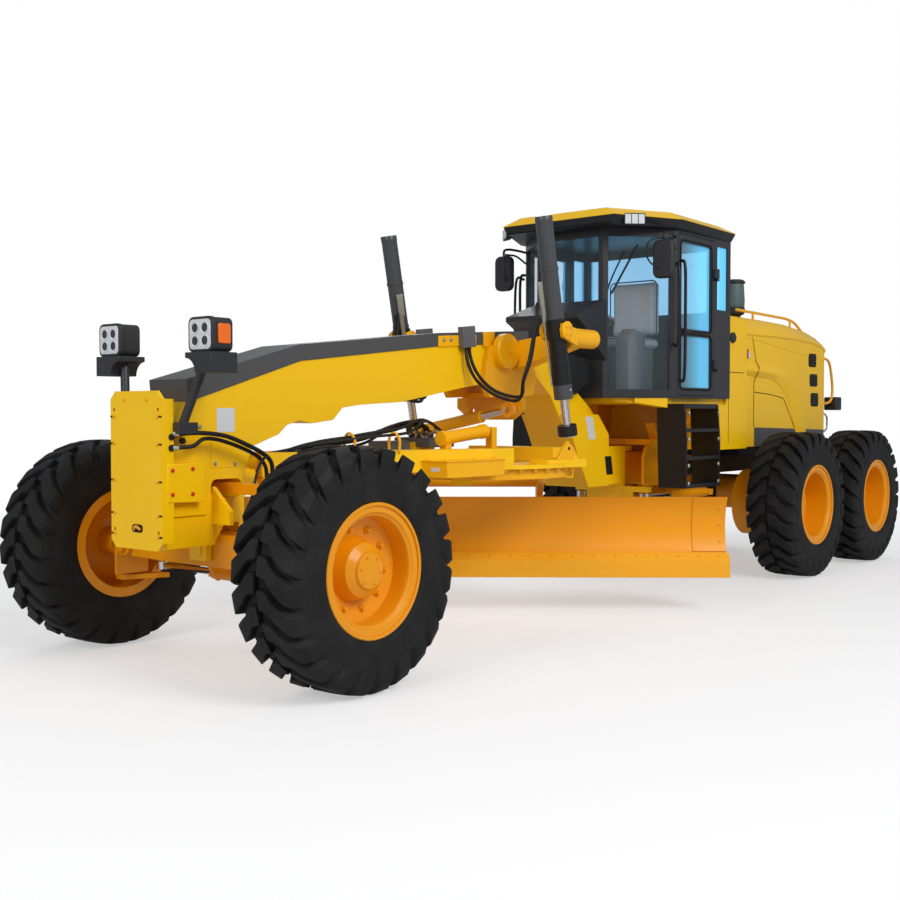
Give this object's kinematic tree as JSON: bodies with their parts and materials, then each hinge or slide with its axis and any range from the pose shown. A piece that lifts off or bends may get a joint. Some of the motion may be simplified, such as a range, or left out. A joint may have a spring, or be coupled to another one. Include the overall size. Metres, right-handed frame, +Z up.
{
  "type": "motor grader",
  "caption": "Articulated motor grader with an arched front frame, a turning circle and curved blade, a glazed cab and a tilting rear hood.",
  "frame": {"origin": "on the ground, at the middle of the machine's length and width", "axes": "+X forward, +Y to the machine's left, +Z up"},
  "size_m": [9.0456, 3.2066, 3.21],
  "materials": {
    "yellow": "gloss paint",
    "orange": "gloss paint, deeper yellow",
    "dark": "satin dark grey paint",
    "black": "satin black paint",
    "tyre": "rubber",
    "rod": "polished rod",
    "glass": "light blue tint",
    "seat": "grey cloth",
    "plastic": "moulded black plastic",
    "engine": "plain block",
    "edge": "painted steel edge"
  },
  "bodies": {
    "rear_frame": {"hitch_box": "orange", "chassis": "orange", "engine": "engine", "tandem_drive": "orange", "cab_frame": "dark", "cab_glass": "glass", "cab_floor": "yellow", "roof": "yellow", "seat": "seat", "controls": "plastic", "ladder": "black", "mirrors": "plastic", "tank_cover": "yellow"},
    "front_frame": {"front_frame": "yellow", "frame_cover": "dark", "headlamps": "dark", "lift_saddle": "orange", "front_axle": "orange"},
    "lean_left": {"lean_yoke_left": "orange"},
    "lean_right": {"lean_yoke_right": "orange"},
    "lean_bar": {"lean_bar": "orange"},
    "steer_left": {"knuckle_left": "orange"},
    "steer_right": {"knuckle_right": "orange"},
    "tie_rod": {"tie_rod": "rod"},
    "drawbar_block": {"drawbar_ball": "orange"},
    "drawbar": {"drawbar": "orange"},
    "circle": {"circle": "orange"},
    "tip": {"tip_bracket": "orange"},
    "blade": {"moldboard": "orange", "cutting_edge": "edge"},
    "hood": {"hood": "yellow"},
    "door_left": {"door_left": "dark", "door_glass_left": "glass"},
    "lift_fork_left": {"lift_fork_left": "orange"},
    "lift_barrel_left": {"lift_barrel_left": "dark"},
    "lift_rod_left": {"lift_rod_left": "rod"},
    "artic_barrel_left": {"artic_barrel_left": "orange"},
    "artic_rod_left": {"artic_rod_left": "rod"},
    "door_right": {"door_right": "dark", "door_glass_right": "glass"},
    "lift_fork_right": {"lift_fork_right": "orange"},
    "lift_barrel_right": {"lift_barrel_right": "dark"},
    "lift_rod_right": {"lift_rod_right": "rod"},
    "artic_barrel_right": {"artic_barrel_right": "orange"},
    "artic_rod_right": {"artic_rod_right": "rod"},
    "shift_barrel": {"shift_barrel": "orange"},
    "shift_rod": {"shift_rod": "rod"},
    "wheel_front_left": {"tyre_front_left": "tyre", "rim_front_left": "orange"},
    "wheel_front_right": {"tyre_front_right": "tyre", "rim_front_right": "orange"},
    "wheel_middle_left": {"tyre_middle_left": "tyre", "rim_middle_left": "orange"},
    "wheel_middle_right": {"tyre_middle_right": "tyre", "rim_middle_right": "orange"},
    "wheel_rear_left": {"tyre_rear_left": "tyre", "rim_rear_left": "orange"},
    "wheel_rear_right": {"tyre_rear_right": "tyre", "rim_rear_right": "orange"}
  },
  "joints": [
    {"name": "articulation", "type": "hinge", "parent": "rear_frame", "child": "front_frame", "pos_m": [-0.8, 0, 1], "axis": [0, 0, 1], "range_deg": [-25, 25]},
    {"name": "lean_left", "type": "hinge", "parent": "front_frame", "child": "lean_left", "pos_m": [3.85, 0.77, 0.67], "axis": [1, 0, 0], "range_deg": [-18, 18]},
    {"name": "lean_right", "type": "hinge", "parent": "front_frame", "child": "lean_right", "pos_m": [3.85, -0.77, 0.67], "axis": [1, 0, 0], "range_deg": [-18.5, 18.5]},
    {"name": "lean_bar_slide", "type": "slide", "parent": "front_frame", "child": "lean_bar", "axis": [0, 1, 0], "range_m": [-0.13, 0.13]},
    {"name": "steer_left", "type": "hinge", "parent": "lean_left", "child": "steer_left", "pos_m": [3.85, 0.92, 0.67], "axis": [0, 0, 1], "range_deg": [-45, 45]},
    {"name": "steer_right", "type": "hinge", "parent": "lean_right", "child": "steer_right", "pos_m": [3.85, -0.92, 0.67], "axis": [0, 0, 1], "range_deg": [-45.5, 45.5]},
    {"name": "tie_rod_slide", "type": "slide", "parent": "front_frame", "child": "tie_rod", "axis": [0, 1, 0], "range_m": [-0.16, 0.16]},
    {"name": "spin_front_left", "type": "hinge", "parent": "steer_left", "child": "wheel_front_left", "pos_m": [3.85, 1.12, 0.67279], "axis": [0, 1, 0], "continuous": true},
    {"name": "spin_front_right", "type": "hinge", "parent": "steer_right", "child": "wheel_front_right", "pos_m": [3.85, -1.12, 0.67279], "axis": [0, 1, 0], "continuous": true},
    {"name": "spin_middle_left", "type": "hinge", "parent": "rear_frame", "child": "wheel_middle_left", "pos_m": [-2.15, 1.12, 0.67279], "axis": [0, 1, 0], "continuous": true},
    {"name": "spin_middle_right", "type": "hinge", "parent": "rear_frame", "child": "wheel_middle_right", "pos_m": [-2.15, -1.12, 0.67279], "axis": [0, 1, 0], "continuous": true},
    {"name": "spin_rear_left", "type": "hinge", "parent": "rear_frame", "child": "wheel_rear_left", "pos_m": [-3.69, 1.12, 0.67279], "axis": [0, 1, 0], "continuous": true},
    {"name": "spin_rear_right", "type": "hinge", "parent": "rear_frame", "child": "wheel_rear_right", "pos_m": [-3.69, -1.12, 0.67279], "axis": [0, 1, 0], "continuous": true},
    {"name": "drawbar_swing", "type": "hinge", "parent": "front_frame", "child": "drawbar_block", "pos_m": [3.6, 0, 1.1], "axis": [0, 0, 1], "range_deg": [-5, 5]},
    {"name": "drawbar_lift", "type": "hinge", "parent": "drawbar_block", "child": "drawbar", "pos_m": [3.54, 0, 1.1], "axis": [0, 1, 0], "range_deg": [-19, 4.5]},
    {"name": "circle_turn", "type": "hinge", "parent": "drawbar", "child": "circle", "pos_m": [1.385, 0, 1.084], "axis": [0, 0, 1], "continuous": true},
    {"name": "blade_tip", "type": "hinge", "parent": "circle", "child": "tip", "pos_m": [1.20447, -0.14412, 0.48], "axis": [-0.6239, 0.7815, 0], "range_deg": [-5, 40]},
    {"name": "blade_shift", "type": "slide", "parent": "tip", "child": "blade", "axis": [0.6239, -0.7815, 0], "range_m": [-0.5, 0.5]},
    {"name": "lift_fork_left", "type": "hinge", "parent": "front_frame", "child": "lift_fork_left", "pos_m": [1.17, 0.75, 2.08], "axis": [1, 0, 0], "range_deg": [-9.2, 9.2]},
    {"name": "lift_barrel_left", "type": "hinge", "parent": "lift_fork_left", "child": "lift_barrel_left", "pos_m": [1.30371, 0.75, 2.12], "axis": [0, 1, 0], "range_deg": [-7.2, 1.9]},
    {"name": "lift_rod_left", "type": "slide", "parent": "lift_barrel_left", "child": "lift_rod_left", "axis": [0.2011, 0, 0.9796], "range_m": [-0.8, 0.2]},
    {"name": "lift_fork_right", "type": "hinge", "parent": "front_frame", "child": "lift_fork_right", "pos_m": [1.17, -0.75, 2.08], "axis": [1, 0, 0], "range_deg": [-9.2, 9.2]},
    {"name": "lift_barrel_right", "type": "hinge", "parent": "lift_fork_right", "child": "lift_barrel_right", "pos_m": [1.30371, -0.75, 2.12], "axis": [0, 1, 0], "range_deg": [-7.2, 1.9]},
    {"name": "lift_rod_right", "type": "slide", "parent": "lift_barrel_right", "child": "lift_rod_right", "axis": [0.2011, 0, 0.9796], "range_m": [-0.8, 0.2]},
    {"name": "shift_barrel_turn", "type": "hinge", "parent": "drawbar", "child": "shift_barrel", "pos_m": [1.26, -0.58, 1.38], "axis": [1, 0, 0], "range_deg": [-9, 36.5]},
    {"name": "shift_rod_slide", "type": "slide", "parent": "shift_barrel", "child": "shift_rod", "axis": [0, 0.9825, 0.1863], "range_m": [-0.205, 0.205]},
    {"name": "artic_barrel_left", "type": "hinge", "parent": "rear_frame", "child": "artic_barrel_left", "pos_m": [-1.7, 0.44, 0.782], "axis": [0, 0, 1], "range_deg": [-2, 2]},
    {"name": "artic_rod_left", "type": "slide", "parent": "artic_barrel_left", "child": "artic_rod_left", "axis": [0.9939, -0.1099, 0], "range_m": [-0.15, 0.15]},
    {"name": "artic_barrel_right", "type": "hinge", "parent": "rear_frame", "child": "artic_barrel_right", "pos_m": [-1.7, -0.44, 0.782], "axis": [0, 0, 1], "range_deg": [-2, 2]},
    {"name": "artic_rod_right", "type": "slide", "parent": "artic_barrel_right", "child": "artic_rod_right", "axis": [0.9939, 0.1099, 0], "range_m": [-0.15, 0.15]},
    {"name": "door_left", "type": "hinge", "parent": "rear_frame", "child": "door_left", "pos_m": [-1.142, 0.802, 2.35], "axis": [0, 0, 1], "range_deg": [0, 90]},
    {"name": "door_right", "type": "hinge", "parent": "rear_frame", "child": "door_right", "pos_m": [-1.142, -0.802, 2.35], "axis": [0, 0, -1], "range_deg": [0, 90]},
    {"name": "hood_tilt", "type": "hinge", "parent": "rear_frame", "child": "hood", "pos_m": [-4.01, 0, 1.23], "axis": [0, -1, 0], "range_deg": [0, 55]}
  ],
  "couplings": [
    {"joint": "lean_right", "follows": "lean_left", "ratio": 1},
    {"joint": "lean_bar_slide", "follows": "lean_left", "m_per_rad": -0.4005},
    {"joint": "steer_right", "follows": "steer_left", "ratio": 1},
    {"joint": "tie_rod_slide", "follows": "steer_left", "m_per_rad": -0.2},
    {"joint": "lift_fork_left", "follows": "drawbar_swing", "ratio": -1.8},
    {"joint": "lift_barrel_left", "follows": "drawbar_lift", "ratio": 0.3657},
    {"joint": "lift_rod_left", "follows": "drawbar_lift", "m_per_rad": 2.3707},
    {"joint": "lift_fork_right", "follows": "drawbar_swing", "ratio": -1.8},
    {"joint": "lift_barrel_right", "follows": "drawbar_lift", "ratio": 0.3657},
    {"joint": "lift_rod_right", "follows": "drawbar_lift", "m_per_rad": 2.3707},
    {"joint": "shift_barrel_turn", "follows": "drawbar_lift", "ratio": -1.9},
    {"joint": "shift_rod_slide", "follows": "drawbar_swing", "m_per_rad": 2.299},
    {"joint": "artic_barrel_left", "follows": "articulation", "ratio": 0.0581},
    {"joint": "artic_rod_left", "follows": "articulation", "m_per_rad": -0.3384},
    {"joint": "artic_barrel_right", "follows": "articulation", "ratio": 0.0581},
    {"joint": "artic_rod_right", "follows": "articulation", "m_per_rad": 0.3384}
  ]
}
